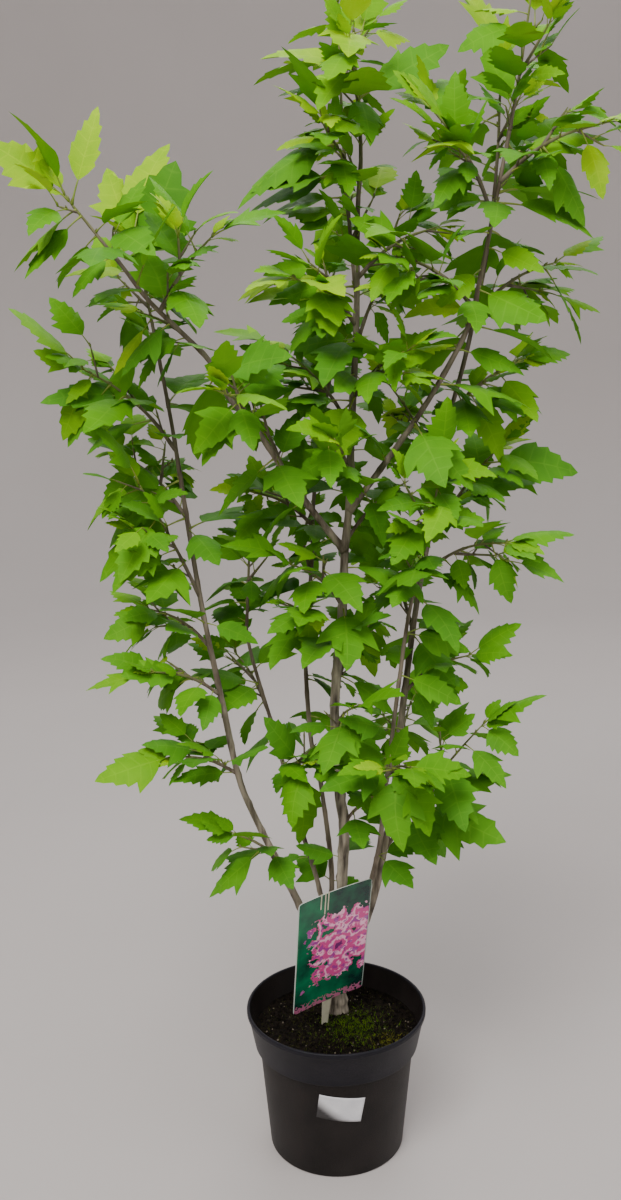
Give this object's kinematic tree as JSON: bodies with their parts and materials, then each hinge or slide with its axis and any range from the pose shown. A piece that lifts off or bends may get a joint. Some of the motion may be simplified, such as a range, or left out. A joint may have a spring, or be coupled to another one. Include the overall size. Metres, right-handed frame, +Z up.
{
  "type": "potted hibiscus shrub",
  "caption": "Hibiscus shrub with slender upright stems and lobed, toothed green leaves, standing in a round black nursery pot of compost with a plain plant label.",
  "frame": {"origin": "centre of the pot's flat underside", "axes": "+Z up along the pot's axis, +X to the right seen from the front, -Y towards the front, where the label faces"},
  "size_m": [0.5101, 0.2846, 1.1139],
  "materials": {
    "pot": "satin",
    "compost": "matte",
    "label": "satin",
    "bark": "matte",
    "foliage": "satin"
  },
  "bodies": {
    "root": {"pot": "pot", "soil": "compost", "label": "label", "trunk": "bark", "left_outer_stem": "bark", "right_outer_stem": "bark", "left_inner_stem": "bark", "right_inner_stem": "bark", "centre_left_stem": "bark", "left_bough": "bark", "right_bough": "bark", "trunk_shoot_a": "foliage", "trunk_shoot_b": "foliage", "trunk_shoot_c": "foliage", "trunk_shoot_d": "foliage", "trunk_shoot_e": "foliage", "trunk_shoot_f": "foliage", "trunk_shoot_g": "foliage", "trunk_shoot_h": "foliage", "trunk_shoot_i": "foliage", "trunk_shoot_j": "foliage", "trunk_shoot_k": "foliage", "left_leader": "foliage", "left_stem_shoot_a": "foliage", "left_stem_shoot_b": "foliage", "left_stem_shoot_c": "foliage", "left_stem_shoot_d": "foliage", "left_stem_shoot_e": "foliage", "left_stem_shoot_f": "foliage", "left_stem_shoot_g": "foliage", "left_inner_shoot_a": "foliage", "left_inner_shoot_b": "foliage", "centre_shoot_a": "foliage", "centre_shoot_b": "foliage", "centre_shoot_c": "foliage", "left_bough_shoot_a": "foliage", "left_bough_shoot_b": "foliage", "left_bough_shoot_c": "foliage", "left_bough_shoot_d": "foliage", "right_stem_shoot_a": "foliage", "right_stem_shoot_b": "foliage", "right_stem_shoot_c": "foliage", "right_stem_shoot_d": "foliage", "right_stem_shoot_e": "foliage", "right_stem_shoot_f": "foliage", "right_stem_shoot_g": "foliage", "right_stem_shoot_h": "foliage", "right_stem_shoot_i": "foliage", "right_inner_shoot": "foliage", "right_bough_shoot_a": "foliage", "right_bough_shoot_b": "foliage", "right_bough_shoot_c": "foliage", "trunk_top": "foliage", "left_outer_stem_top": "foliage", "right_outer_stem_top": "foliage", "left_inner_stem_top": "foliage", "right_inner_stem_top": "foliage", "centre_left_stem_top": "foliage", "left_bough_top": "foliage", "right_bough_top": "foliage"}
  },
  "joints": []
}
